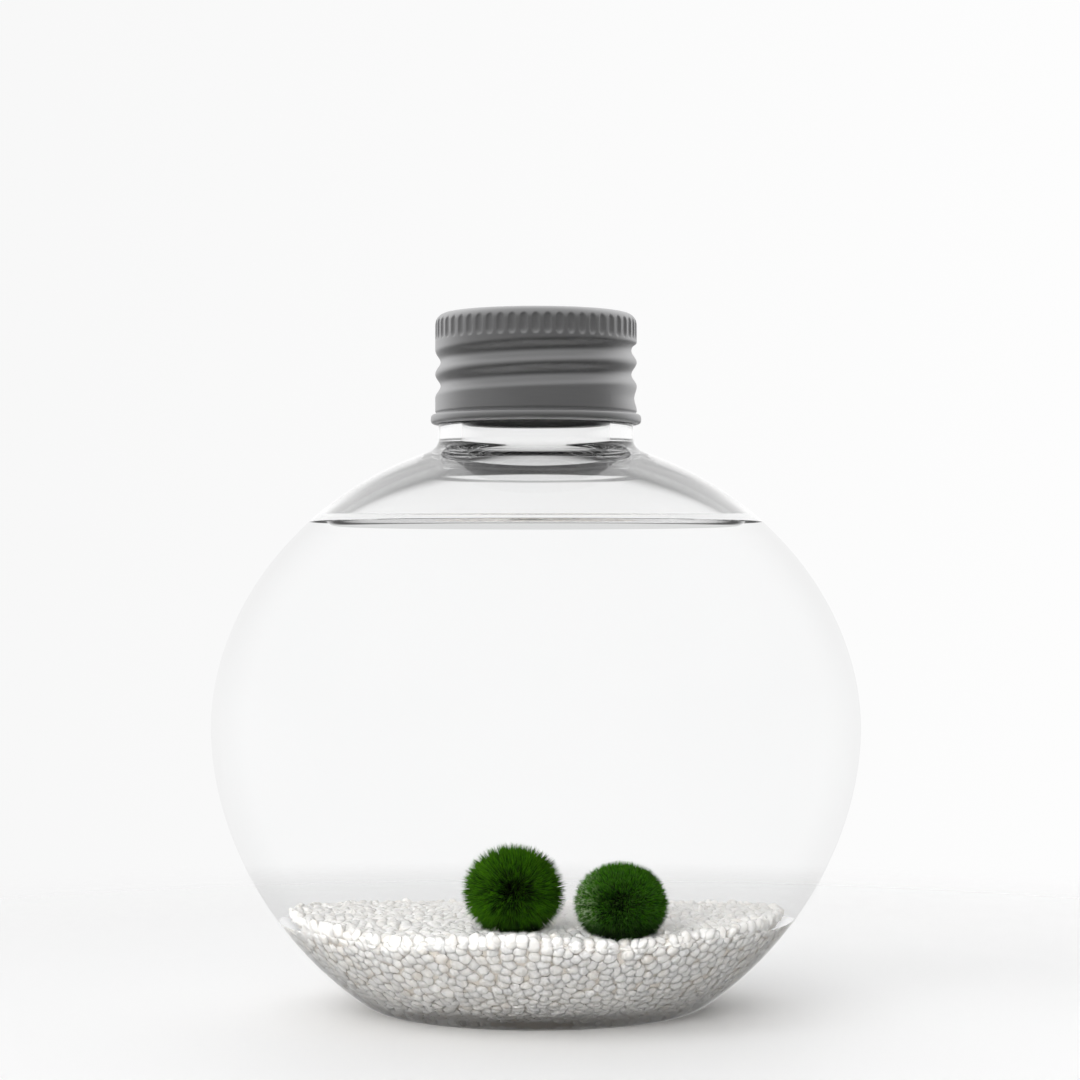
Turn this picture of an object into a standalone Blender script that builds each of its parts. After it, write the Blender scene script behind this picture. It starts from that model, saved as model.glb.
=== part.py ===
"""A marimo jar: two moss balls on white gravel, in a water-filled glass globe with a screw cap.

The origin is the centre of the base, on the surface that the jar stands on. +Z is up and -Y is
the front. Every length is in metres. The pieces are turned about the Z axis, apart from the two
moss balls, and each is an object of its own.
"""

import math
import random

import bmesh
import bpy

MM = 0.001

# Space left between pieces that touch on the real object.
GAP = 0.3 * MM

# The glass globe. Its outline is one curve above the equator and another below it.
GLOBE_RADIUS = 57.2 * MM
EQUATOR_HEIGHT = 49.4 * MM
UPPER_REACH = 51.8 * MM
UPPER_POWER = 1.94
LOWER_REACH = 58.5 * MM
LOWER_POWER = 1.89
GLASS_WALL = 2.0 * MM

# The foot: a flat ring to stand on, round a shallow push-up, under a thicker floor.
FOOT_OUTER_RADIUS = 27.3 * MM
FOOT_INNER_RADIUS = 22.0 * MM
HEEL_CORNER_RADIUS = 28.9 * MM
HEEL_TOP_HEIGHT = 1.6 * MM
PUSH_UP_RADIUS = 13.0 * MM
PUSH_UP_HEIGHT = 1.8 * MM
FLOOR_HEIGHT = 4.2 * MM
FLOOR_CENTRE_HEIGHT = 5.2 * MM
FLOOR_FLAT_RADIUS = 24.0 * MM
FLOOR_CORNER_RADIUS = 29.5 * MM
WALL_FOOT_HEIGHT = 8.0 * MM

# The neck, from the flare on the shoulder to the rim.
NECK_RADIUS = 17.4 * MM
FLARE_TOP_HEIGHT = 100.6 * MM
FLARE_CORNER_HEIGHT = 98.4 * MM
SHOULDER_TOP_HEIGHT = 97.7 * MM
NECK_RING_TOP_HEIGHT = 102.1 * MM
NECK_STEP_HEIGHT = 103.4 * MM
THREAD_ROOT_RADIUS = 16.0 * MM
THREAD_CREST = 0.9 * MM
THREAD_ZONE_LOW = 104.3 * MM
THREAD_ZONE_HIGH = 118.7 * MM
RIM_HEIGHT = 120.4 * MM
RIM_ROUND = 0.9 * MM
RIM_FLAT_OUTER_RADIUS = 14.9 * MM
RIM_FLAT_INNER_RADIUS = 14.0 * MM
BORE_RADIUS = 13.2 * MM
BORE_LOW_HEIGHT = 100.2 * MM
BORE_CORNER_HEIGHT = 97.3 * MM
INNER_SHOULDER_HEIGHT = 96.4 * MM

# The screw thread that the cap and the neck share: one start, right-handed, six turns an inch.
THREAD_PITCH = 25.4 * MM / 6
GROOVE_START_HEIGHT = 107.5 * MM
GROOVE_TURNS = 2.15
GROOVE_DEPTH = 0.95 * MM
GLASS_THREAD_TURNS = 1.5
THREAD_FADE_TURNS = 0.12

# The cap, pressed from sheet and curled into a bead at its lower edge.
CAP_RADIUS = 17.85 * MM
CAP_SHEET = 0.5 * MM
CAP_TOP_HEIGHT = 122.5 * MM
CAP_CORNER = 2.0 * MM
BEAD_RADIUS = 18.65 * MM
BEAD_LOW_HEIGHT = 102.9 * MM
BEAD_HIGH_HEIGHT = 104.6 * MM
GROOVE_ZONE_LOW = 105.1 * MM
GROOVE_ZONE_HIGH = 117.3 * MM
FLUTES = 54
FLUTE_LOW_HEIGHT = 117.7 * MM
FLUTE_HIGH_HEIGHT = 121.3 * MM
FLUTE_RUN_IN = 0.6 * MM
FLUTE_DEPTH = 0.3 * MM
BEAD_ROUND = 0.4 * MM
CROWN_INNER_RADIUS = 17.2 * MM
CROWN_INNER_CORNER = 1.1 * MM

# The sealing disc between the cap and the rim.
LINER_RADIUS = 16.5 * MM
LINER_THICKNESS = 0.8 * MM

# The water, with the curve where it climbs the glass.
WATER_LEVEL = 84.5 * MM
MENISCUS_RISE = 1.3 * MM
MENISCUS_WIDTH = 3.2 * MM

# The gravel: level in front and falling away behind, with a few low heaps and hollows, each as
# the place of its middle, its spread and its height.
BED_LEVEL = 17.6 * MM
BED_BACK_FALL = 5.4 * MM
BED_FALL_START = 2.0 * MM
BED_FALL_POWER = 1.3
BED_HEAPS = (
    (-25.0 * MM, -38.0 * MM, 9.0 * MM, -1.0 * MM),
    (-4.0 * MM, -45.0 * MM, 8.0 * MM, 0.5 * MM),
    (16.0 * MM, -42.0 * MM, 8.0 * MM, -0.9 * MM),
    (44.0 * MM, -12.0 * MM, 10.0 * MM, 0.6 * MM),
    (-14.0 * MM, -10.0 * MM, 12.0 * MM, 0.5 * MM),
    (20.0 * MM, 8.0 * MM, 12.0 * MM, -0.4 * MM),
)

# The lumps of the gravel: how far the surface sinks between them.
LUMP_DEPTH = 1.3 * MM
LUMP_SEED = 7

# The moss balls, to the tips of their threads: name, centre, half-width and half-height.
MOSS_BALLS = (
    ("moss_ball_left", (-3.7 * MM, -30.0 * MM, 23.5 * MM), 8.5 * MM, 7.7 * MM),
    ("moss_ball_right", (14.1 * MM, -34.0 * MM, 21.9 * MM), 7.8 * MM, 6.7 * MM),
)
MOSS_LUMP = 0.03

# How finely the round pieces are divided. The cap has half as many columns as flutes.
GLOBE_COLUMNS = 32
CAP_COLUMNS = 27
GLOBE_ROWS_ABOVE = 7
GLOBE_ROWS_BELOW = 6
CURVE_STEPS = 3
ROWS_PER_PITCH = 4
MOSS_COLUMNS = 20
MOSS_ROWS = 10


def clear_scene():
    for thing in list(bpy.data.objects):
        bpy.data.objects.remove(thing, do_unlink=True)


def material(name, colour, roughness, metallic=0.0, transmission=0.0, ior=1.5):
    """A Principled material with one colour."""
    made = bpy.data.materials.new(name)
    made.use_nodes = True
    shader = made.node_tree.nodes["Principled BSDF"]
    shader.inputs["Base Color"].default_value = (*colour, 1.0)
    shader.inputs["Roughness"].default_value = roughness
    shader.inputs["Metallic"].default_value = metallic
    shader.inputs["Transmission Weight"].default_value = transmission
    shader.inputs["IOR"].default_value = ior
    made.diffuse_color = (*colour, 1.0)
    return made


def finish_object(mesh, name, made_of, sharp_degrees=35):
    """Turns a bmesh into an object, with its faces pointing out and its round sides smooth."""
    bmesh.ops.recalc_face_normals(mesh, faces=mesh.faces)
    data = bpy.data.meshes.new(name)
    mesh.to_mesh(data)
    mesh.free()
    data.materials.append(made_of)
    data.shade_smooth()
    data.set_sharp_from_angle(angle=math.radians(sharp_degrees))
    thing = bpy.data.objects.new(name, data)
    bpy.context.scene.collection.objects.link(thing)
    return thing


def subtract(thing, cutter):
    """Cuts a hidden object out of another with a Boolean modifier."""
    cut = thing.modifiers.new(f"cut {cutter.name}", "BOOLEAN")
    cut.operation = "DIFFERENCE"
    cut.solver = "EXACT"
    cut.object = cutter


def curve(start, corner, end, steps=CURVE_STEPS):
    """Points of (radius, height) on a curve that leaves start and reaches end towards corner."""
    points = []
    for step in range(1, steps + 1):
        t = step / steps
        points.append(
            tuple(
                (1 - t) ** 2 * a + 2 * t * (1 - t) * b + t**2 * c
                for a, b, c in zip(start, corner, end)
            )
        )
    return points


def add_ring(mesh, columns, radius, height):
    """Adds a ring of points round the axis. Radius and height may depend on the column."""
    points = []
    for column in range(columns):
        angle = 2 * math.pi * column / columns
        r = radius(column) if callable(radius) else radius
        z = height(column) if callable(height) else height
        points.append(mesh.verts.new((r * math.cos(angle), r * math.sin(angle), z)))
    return points


def add_rings(mesh, columns, outline):
    return [add_ring(mesh, columns, radius, height) for radius, height in outline]


def join_rings(mesh, rings):
    """Joins each ring to the next with a band of faces, and returns the faces."""
    faces = []
    for one, other in zip(rings, rings[1:]):
        for here in range(len(one)):
            after = (here + 1) % len(one)
            faces.append(mesh.faces.new((one[here], one[after], other[after], other[here])))
    return faces


def join_to_finer(mesh, coarse, fine):
    """Joins a ring to one that has two points for each of its own."""
    for here in range(len(coarse)):
        after = (here + 1) % len(coarse)
        first, middle, last = (fine[(2 * here + step) % len(fine)] for step in range(3))
        mesh.faces.new((coarse[here], middle, first))
        mesh.faces.new((coarse[here], coarse[after], middle))
        mesh.faces.new((coarse[after], last, middle))


def close_ring(mesh, ring, height):
    """Closes a ring with a fan about a point on the axis."""
    centre = mesh.verts.new((0.0, 0.0, height))
    for here in range(len(ring)):
        mesh.faces.new((ring[here], ring[(here + 1) % len(ring)], centre))


def thread_share(turn, across, turns):
    """How far out a thread stands, from 0 to 1, at a turn along it and a place across it."""
    fade_in = (turn + THREAD_FADE_TURNS) / (2 * THREAD_FADE_TURNS)
    fade_out = (turns + THREAD_FADE_TURNS - turn) / (2 * THREAD_FADE_TURNS)
    fade = min(max(min(fade_in, fade_out), 0.0), 1.0)
    return fade * math.sin(math.pi * across) ** 2


def screwed_wall(mesh, columns, low, high, middle_height, radius):
    """Adds a wall between two levels, whose rows climb one pitch in each turn.

    middle_height is the height of the thread's middle at its start, on the +X side. radius is a
    function of the turn along the thread and of the place across it, from 0 to 1. Returns the
    lowest and the highest ring of points, which are level.
    """
    row_height = THREAD_PITCH / ROWS_PER_PITCH
    nearest = row_height / 4
    turns_below = math.ceil((middle_height - low) / THREAD_PITCH) + 1
    start = middle_height - (turns_below + 0.5) * THREAD_PITCH
    rows = math.ceil((high - start) / row_height) + 1
    plain = radius(0.0, 0.0)
    bottom = add_ring(mesh, columns, plain, low)
    top = add_ring(mesh, columns, plain, high)
    grid = []
    for column in range(columns):
        angle = 2 * math.pi * column / columns
        climbed = column / columns
        line = []
        for row in range(rows):
            z = start + row * row_height + THREAD_PITCH * climbed
            if z < low + nearest:
                line.append(bottom[column])
                continue
            if z > high - nearest:
                line.append(top[column])
                continue
            turn = row // ROWS_PER_PITCH - turns_below + climbed
            r = radius(turn, (row % ROWS_PER_PITCH) / ROWS_PER_PITCH)
            line.append(mesh.verts.new((r * math.cos(angle), r * math.sin(angle), z)))
        grid.append(line)
    # After a whole turn the rows have climbed by one pitch, so each meets a later row there.
    grid.append(grid[0][ROWS_PER_PITCH:] + [top[0]] * ROWS_PER_PITCH)
    for here, after in zip(grid, grid[1:]):
        for row in range(rows - 1):
            corners = (here[row], after[row], after[row + 1], here[row + 1])
            corners = tuple(dict.fromkeys(corners))
            if len(corners) > 2:
                mesh.faces.new(corners)
    return bottom, top


def globe_radius(height, inset=0.0):
    """The globe's radius at a height, on a surface that lies inset inside the outer one."""
    rise = height - EQUATOR_HEIGHT
    reach = (UPPER_REACH if rise > 0 else LOWER_REACH) - inset
    power = UPPER_POWER if rise > 0 else LOWER_POWER
    return (GLOBE_RADIUS - inset) * (1 - (abs(rise) / reach) ** power) ** (1 / power)


def globe_outline(low, high, inset=0.0):
    """Points of (radius, height) up the globe, closer together where it curves more."""
    heights = []
    lowest = math.asin((EQUATOR_HEIGHT - low) / (LOWER_REACH - inset))
    for row in range(GLOBE_ROWS_BELOW):
        angle = lowest * (1 - row / GLOBE_ROWS_BELOW)
        heights.append(EQUATOR_HEIGHT - (LOWER_REACH - inset) * math.sin(angle))
    highest = math.asin((high - EQUATOR_HEIGHT) / (UPPER_REACH - inset))
    for row in range(GLOBE_ROWS_ABOVE + 1):
        angle = highest * row / GLOBE_ROWS_ABOVE
        heights.append(EQUATOR_HEIGHT + (UPPER_REACH - inset) * math.sin(angle))
    return [(globe_radius(height, inset), height) for height in heights]


def floor_outline(gap=0.0):
    """Points from the middle of the jar's floor to the foot of its wall, lifted by a gap."""
    flat = (FLOOR_FLAT_RADIUS, FLOOR_HEIGHT + gap)
    corner = (FLOOR_CORNER_RADIUS, FLOOR_HEIGHT + gap)
    wall_foot = (globe_radius(WALL_FOOT_HEIGHT, GLASS_WALL + gap), WALL_FOOT_HEIGHT)
    return [(PUSH_UP_RADIUS, FLOOR_CENTRE_HEIGHT + gap), flat, *curve(flat, corner, wall_foot)]


def build_jar(glass):
    """The globe, its foot and its threaded neck, in one blown piece."""
    mesh = bmesh.new()
    foot = [
        (PUSH_UP_RADIUS, PUSH_UP_HEIGHT),
        (FOOT_INNER_RADIUS, 0.0),
        (FOOT_OUTER_RADIUS, 0.0),
    ]
    heel_top = (globe_radius(HEEL_TOP_HEIGHT), HEEL_TOP_HEIGHT)
    heel = curve(foot[-1], (HEEL_CORNER_RADIUS, 0.0), heel_top)
    shoulder = globe_outline(HEEL_TOP_HEIGHT, SHOULDER_TOP_HEIGHT)[1:]
    flare_top = (NECK_RADIUS, FLARE_TOP_HEIGHT)
    flare = curve(shoulder[-1], (NECK_RADIUS, FLARE_CORNER_HEIGHT), flare_top)
    neck = [(NECK_RADIUS, NECK_RING_TOP_HEIGHT), (THREAD_ROOT_RADIUS, NECK_STEP_HEIGHT)]
    outside = add_rings(mesh, GLOBE_COLUMNS, foot + heel + shoulder + flare + neck)
    close_ring(mesh, outside[0], PUSH_UP_HEIGHT)

    def thread_radius(turn, across):
        share = thread_share(turn, across, GLASS_THREAD_TURNS)
        return THREAD_ROOT_RADIUS + THREAD_CREST * share

    middle = GROOVE_START_HEIGHT + THREAD_PITCH / 2
    low, high = screwed_wall(
        mesh, GLOBE_COLUMNS, THREAD_ZONE_LOW, THREAD_ZONE_HIGH, middle, thread_radius
    )
    rim_side = (THREAD_ROOT_RADIUS, RIM_HEIGHT - RIM_ROUND)
    rim_outer = (RIM_FLAT_OUTER_RADIUS, RIM_HEIGHT)
    rim_inner = (RIM_FLAT_INNER_RADIUS, RIM_HEIGHT)
    rim = curve(rim_side, (THREAD_ROOT_RADIUS, RIM_HEIGHT), rim_outer, 2)
    bore_top = (BORE_RADIUS, RIM_HEIGHT - RIM_ROUND)
    lip = curve(rim_inner, (BORE_RADIUS, RIM_HEIGHT), bore_top, 2)
    bore_low = (BORE_RADIUS, BORE_LOW_HEIGHT)
    inner_shoulder = (globe_radius(INNER_SHOULDER_HEIGHT, GLASS_WALL), INNER_SHOULDER_HEIGHT)
    inner_flare = curve(bore_low, (BORE_RADIUS, BORE_CORNER_HEIGHT), inner_shoulder)
    wall = globe_outline(WALL_FOOT_HEIGHT, INNER_SHOULDER_HEIGHT, GLASS_WALL)[::-1]
    floor = floor_outline()[::-1]
    inside = rim_side, *rim, rim_inner, *lip, bore_low, *inner_flare
    inside = add_rings(mesh, GLOBE_COLUMNS, [*inside, *wall[1:], *floor[1:]])
    join_rings(mesh, [*outside, low])
    join_rings(mesh, [high, *inside])
    close_ring(mesh, inside[-1], FLOOR_CENTRE_HEIGHT)
    return finish_object(mesh, "glass_jar", glass)


def build_cap(metal):
    """The screw cap: a flat crown with flutes round it, a rolled thread and a curled bead."""
    mesh = bmesh.new()
    corner_centre = CAP_RADIUS - CAP_CORNER
    corner_low = CAP_TOP_HEIGHT - CAP_CORNER

    def corner_radius(height):
        return corner_centre + math.sqrt(CAP_CORNER**2 - (height - corner_low) ** 2)

    crown = [
        (corner_centre, CAP_TOP_HEIGHT),
        (corner_centre + CAP_CORNER / 2, corner_low + CAP_CORNER * math.sqrt(3) / 2),
        (corner_radius(FLUTE_HIGH_HEIGHT), FLUTE_HIGH_HEIGHT),
    ]
    crown = add_rings(mesh, FLUTES, crown)
    close_ring(mesh, crown[0], CAP_TOP_HEIGHT)

    def fluted_radius(column):
        return CAP_RADIUS - (FLUTE_DEPTH if column % 2 else 0.0)

    upper_flutes = add_ring(mesh, 2 * FLUTES, fluted_radius, FLUTE_HIGH_HEIGHT - FLUTE_RUN_IN)
    lower_flutes = add_ring(mesh, 2 * FLUTES, fluted_radius, FLUTE_LOW_HEIGHT + FLUTE_RUN_IN)

    def groove_radius(turn, across):
        return CAP_RADIUS - GROOVE_DEPTH * thread_share(turn, across, GROOVE_TURNS)

    def inner_groove_radius(turn, across):
        return groove_radius(turn, across) - CAP_SHEET

    zone = mesh, CAP_COLUMNS, GROOVE_ZONE_LOW, GROOVE_ZONE_HIGH, GROOVE_START_HEIGHT
    outer_low, outer_high = screwed_wall(*zone, groove_radius)
    inner_low, inner_high = screwed_wall(*zone, inner_groove_radius)

    inner_radius = CAP_RADIUS - CAP_SHEET
    bead_middle = (BEAD_LOW_HEIGHT + BEAD_HIGH_HEIGHT) / 2
    bead = [
        (BEAD_RADIUS - BEAD_ROUND, BEAD_HIGH_HEIGHT),
        (BEAD_RADIUS, bead_middle + BEAD_ROUND),
        (BEAD_RADIUS, bead_middle - BEAD_ROUND),
        (BEAD_RADIUS - BEAD_ROUND, BEAD_LOW_HEIGHT),
        (inner_radius + BEAD_ROUND, BEAD_LOW_HEIGHT),
        (inner_radius, BEAD_LOW_HEIGHT + BEAD_ROUND),
    ]
    bead = add_rings(mesh, CAP_COLUMNS, bead)
    under = CAP_TOP_HEIGHT - CAP_SHEET
    crown_inside = [
        (CROWN_INNER_RADIUS, FLUTE_LOW_HEIGHT + FLUTE_RUN_IN),
        (CROWN_INNER_RADIUS, under - CROWN_INNER_CORNER),
        (CROWN_INNER_RADIUS - CROWN_INNER_CORNER / 2, under - CROWN_INNER_CORNER / 4),
        (corner_centre, under),
    ]
    crown_inside = add_rings(mesh, CAP_COLUMNS, crown_inside)
    below_flutes = add_ring(mesh, FLUTES, CAP_RADIUS, FLUTE_LOW_HEIGHT)
    join_rings(mesh, crown)
    join_to_finer(mesh, crown[-1], upper_flutes)
    join_rings(mesh, [upper_flutes, lower_flutes])
    join_to_finer(mesh, below_flutes, lower_flutes)
    join_to_finer(mesh, outer_high, below_flutes)
    join_rings(mesh, [outer_low, *bead, inner_low])
    join_rings(mesh, [inner_high, *crown_inside])
    close_ring(mesh, crown_inside[-1], under)
    return finish_object(mesh, "screw_cap", metal)


def build_liner(foam):
    """The disc that seals the cap against the rim."""
    mesh = bmesh.new()
    low = RIM_HEIGHT + GAP
    outline = [(LINER_RADIUS, low), (LINER_RADIUS, low + LINER_THICKNESS)]
    rings = add_rings(mesh, GLOBE_COLUMNS, outline)
    join_rings(mesh, rings)
    close_ring(mesh, rings[0], low)
    close_ring(mesh, rings[-1], low + LINER_THICKNESS)
    return finish_object(mesh, "cap_liner", foam)


def bed_height(x, y):
    """The height of the gravel's surface, as its grains lie."""
    behind = max(0.0, y - BED_FALL_START) / (GLOBE_RADIUS - BED_FALL_START)
    height = BED_LEVEL - BED_BACK_FALL * behind**BED_FALL_POWER
    for heap_x, heap_y, spread, rise in BED_HEAPS:
        distance = math.hypot(x - heap_x, y - heap_y) / spread
        height += rise * math.exp(-(distance**2))
    return height


def bed_edge(lift):
    """Where the bed's surface, lifted by some height, meets the glass: (radius, height)."""
    edge = []
    for column in range(GLOBE_COLUMNS):
        angle = 2 * math.pi * column / GLOBE_COLUMNS
        height = BED_LEVEL
        for _ in range(4):
            radius = globe_radius(height, GLASS_WALL + GAP)
            height = bed_height(radius * math.cos(angle), radius * math.sin(angle)) + lift
        edge.append((globe_radius(height, GLASS_WALL + GAP), height))
    return edge


def add_bed_surface(mesh, edge_ring, edge, lift):
    """Closes a ring at the glass with the gravel's surface, lifted by some height.

    Returns the faces between its rings.
    """
    rings = [edge_ring]
    for share in (0.84, 0.66, 0.46, 0.24):
        ring = []
        for column, (radius, _) in enumerate(edge):
            angle = 2 * math.pi * column / len(edge)
            x = share * radius * math.cos(angle)
            y = share * radius * math.sin(angle)
            ring.append(mesh.verts.new((x, y, bed_height(x, y) + lift)))
        rings.append(ring)
    close_ring(mesh, rings[-1], bed_height(0.0, 0.0) + lift)
    return join_rings(mesh, rings)


def add_lumps(mesh, faces):
    """Sinks the middle of each face, so that its corners stand up as lumps."""
    mesh.normal_update()
    chance = random.Random(LUMP_SEED)
    for face in faces:
        depth = LUMP_DEPTH * chance.uniform(0.6, 1.0)
        bmesh.ops.poke(mesh, faces=[face], offset=-depth)


def build_gravel(stone):
    """The bed of gravel as one lumpy body, from the jar's floor to the tops of its grains."""
    mesh = bmesh.new()
    floor = add_rings(mesh, GLOBE_COLUMNS, floor_outline(GAP))
    close_ring(mesh, floor[0], FLOOR_CENTRE_HEIGHT + GAP)
    edge = bed_edge(0.0)

    def up_the_wall(share):
        def height(column):
            return WALL_FOOT_HEIGHT + share * (edge[column][1] - WALL_FOOT_HEIGHT)

        def radius(column):
            return globe_radius(height(column), GLASS_WALL + GAP)

        return add_ring(mesh, GLOBE_COLUMNS, radius, height)

    wall = [up_the_wall(1 / 3), up_the_wall(2 / 3), up_the_wall(1.0)]
    join_rings(mesh, floor[:2])
    side = join_rings(mesh, [*floor[1:], *wall])
    top = add_bed_surface(mesh, wall[-1], edge, 0.0)
    add_lumps(mesh, side + top)
    return finish_object(mesh, "gravel_bed", stone)


def build_water(liquid):
    """The water, from the gravel to its surface, which climbs a little where it meets the glass."""
    mesh = bmesh.new()
    inset = GLASS_WALL + GAP
    edge = bed_edge(GAP)
    bottom = add_ring(
        mesh,
        GLOBE_COLUMNS,
        lambda column: edge[column][0],
        lambda column: edge[column][1],
    )
    top_height = WATER_LEVEL + MENISCUS_RISE
    lowest_row = max(height for _, height in edge) + MENISCUS_RISE
    wall = [
        (radius, height)
        for radius, height in globe_outline(WALL_FOOT_HEIGHT, INNER_SHOULDER_HEIGHT, inset)
        if lowest_row < height < WATER_LEVEL
    ]
    top_radius = globe_radius(top_height, inset)
    top = (top_radius, top_height)
    flat = (top_radius - MENISCUS_WIDTH, WATER_LEVEL)
    meniscus = curve(top, (top_radius - MENISCUS_WIDTH / 3, WATER_LEVEL), flat)
    # Every other row of the wall is enough here, behind the glass.
    rings = add_rings(mesh, GLOBE_COLUMNS, [*wall[::2], top, *meniscus])
    join_rings(mesh, [bottom, *rings])
    close_ring(mesh, rings[-1], WATER_LEVEL)
    add_bed_surface(mesh, bottom, edge, GAP)
    return finish_object(mesh, "water", liquid)


def build_ball(name, centre, half_width, half_height, made_of):
    """A lumpy ball, a little flatter than round, out to the tips of its threads."""
    mesh = bmesh.new()
    rings = []
    for row in range(1, MOSS_ROWS):
        tilt = math.pi * row / MOSS_ROWS
        ring = []
        for column in range(MOSS_COLUMNS):
            angle = 2 * math.pi * column / MOSS_COLUMNS
            lump = 1 - MOSS_LUMP * (0.5 + 0.5 * math.sin(3 * angle + 4 * tilt)) * math.sin(tilt)
            x = centre[0] + half_width * lump * math.sin(tilt) * math.cos(angle)
            y = centre[1] + half_width * lump * math.sin(tilt) * math.sin(angle)
            ring.append(mesh.verts.new((x, y, centre[2] - half_height * lump * math.cos(tilt))))
        rings.append(ring)
    join_rings(mesh, rings)
    for ring, end in ((rings[0], -half_height), (rings[-1], half_height)):
        pole = mesh.verts.new((centre[0], centre[1], centre[2] + end))
        for here in range(MOSS_COLUMNS):
            mesh.faces.new((ring[here], ring[(here + 1) % MOSS_COLUMNS], pole))
    return finish_object(mesh, name, made_of, sharp_degrees=180)


def build_hollow(name, centre, half_width, half_height, made_of):
    """A hidden copy of a moss ball, larger by the gap, which cuts its place in the jar's fill."""
    space = 1.2 * GAP
    hollow = build_ball(
        f"{name}_hollow", centre, half_width + space, half_height + space, made_of
    )
    hollow.hide_render = True
    hollow.display_type = "WIRE"
    return hollow


def main():
    clear_scene()
    glass = material("clear glass", (0.98, 0.99, 0.99), 0.02, transmission=1.0, ior=1.5)
    liquid = material("water", (0.99, 1.0, 1.0), 0.0, transmission=1.0, ior=1.333)
    stone = material("white gravel", (0.86, 0.84, 0.81), 0.45)
    moss = material("marimo green", (0.03, 0.13, 0.02), 0.85)
    metal = material("satin aluminium", (0.42, 0.42, 0.43), 0.38, metallic=1.0)
    foam = material("dark foam", (0.03, 0.03, 0.03), 0.7)
    build_jar(glass)
    build_cap(metal)
    build_liner(foam)
    gravel = build_gravel(stone)
    water = build_water(liquid)
    for ball in MOSS_BALLS:
        build_ball(*ball, moss)
        hollow = build_hollow(*ball, moss)
        subtract(gravel, hollow)
        subtract(water, hollow)


main()
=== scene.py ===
# %% [markdown]
# # A marimo jar
#
# Two balls of green water moss rest on white gravel in a glass globe full of water, under an
# aluminium screw cap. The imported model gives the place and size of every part. This lesson
# gives each part its surface: glass that bends light, wet stones, fine moss threads and a
# rolled metal thread.

# %% The frame
import math

import bpy
import numpy as np
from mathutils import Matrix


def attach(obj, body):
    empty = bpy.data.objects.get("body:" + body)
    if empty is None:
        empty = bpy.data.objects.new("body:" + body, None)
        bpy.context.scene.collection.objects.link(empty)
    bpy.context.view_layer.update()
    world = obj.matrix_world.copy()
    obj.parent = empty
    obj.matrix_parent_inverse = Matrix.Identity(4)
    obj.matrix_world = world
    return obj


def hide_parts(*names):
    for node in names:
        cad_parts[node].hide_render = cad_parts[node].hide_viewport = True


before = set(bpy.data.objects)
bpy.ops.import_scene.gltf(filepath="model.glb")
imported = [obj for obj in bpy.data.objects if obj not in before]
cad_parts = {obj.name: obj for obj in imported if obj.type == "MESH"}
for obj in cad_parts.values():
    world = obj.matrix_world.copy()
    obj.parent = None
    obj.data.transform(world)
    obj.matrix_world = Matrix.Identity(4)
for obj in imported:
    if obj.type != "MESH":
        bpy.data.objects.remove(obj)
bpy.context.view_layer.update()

MM = 0.001

# %% [markdown]
# ## The camera
#
# The photograph was taken from a little above the middle of the globe, with a long lens. The
# distance comes from how much the rings of the cap and of the gravel curve: a ring seen from
# nearby is a fat ellipse, and one seen from afar is a thin one. The scale comes from the cap's
# thread, which climbs 4.23 mm in 23.9 pixels. Everything else follows from those two.

# %% The camera
PHOTO_WIDTH = 1080.0
JAR_AXIS_X = 536.0
EYE_LEVEL_Y = 574.0
PIXEL = 0.1771 * MM
CAMERA_DISTANCE = 517 * MM
CAMERA_HEIGHT = 76.4 * MM
NEAREST_SEEN = 20 * MM
FARTHEST_SEEN = 20.0

camera_data = bpy.data.cameras.new("portrait_camera")
camera = bpy.data.objects.new("portrait_camera", camera_data)
bpy.context.scene.collection.objects.link(camera)
bpy.context.scene.camera = camera
pixels_to_axis = CAMERA_DISTANCE / PIXEL
camera_data.lens = pixels_to_axis / PHOTO_WIDTH * camera_data.sensor_width
camera_data.clip_start = NEAREST_SEEN
camera_data.clip_end = FARTHEST_SEEN
camera.location = ((PHOTO_WIDTH / 2 - JAR_AXIS_X) * PIXEL, -CAMERA_DISTANCE, CAMERA_HEIGHT)
look_up = math.atan((EYE_LEVEL_Y - PHOTO_WIDTH / 2) / pixels_to_axis)
camera.rotation_euler = (math.pi / 2 + look_up, 0.0, 0.0)
print(f"lens {camera_data.lens:.0f} mm, looking up {math.degrees(look_up):.2f} degrees")

# %% [markdown]
# ## Writing node trees as expressions
#
# Both materials and Geometry Nodes are trees of nodes joined by links. Building them one node
# and one link at a time is slow to read, so this small class wraps an output socket and lets
# it be added and multiplied like a number. `make` adds any other node: first its settings, then
# the values or links of its inputs.


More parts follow.
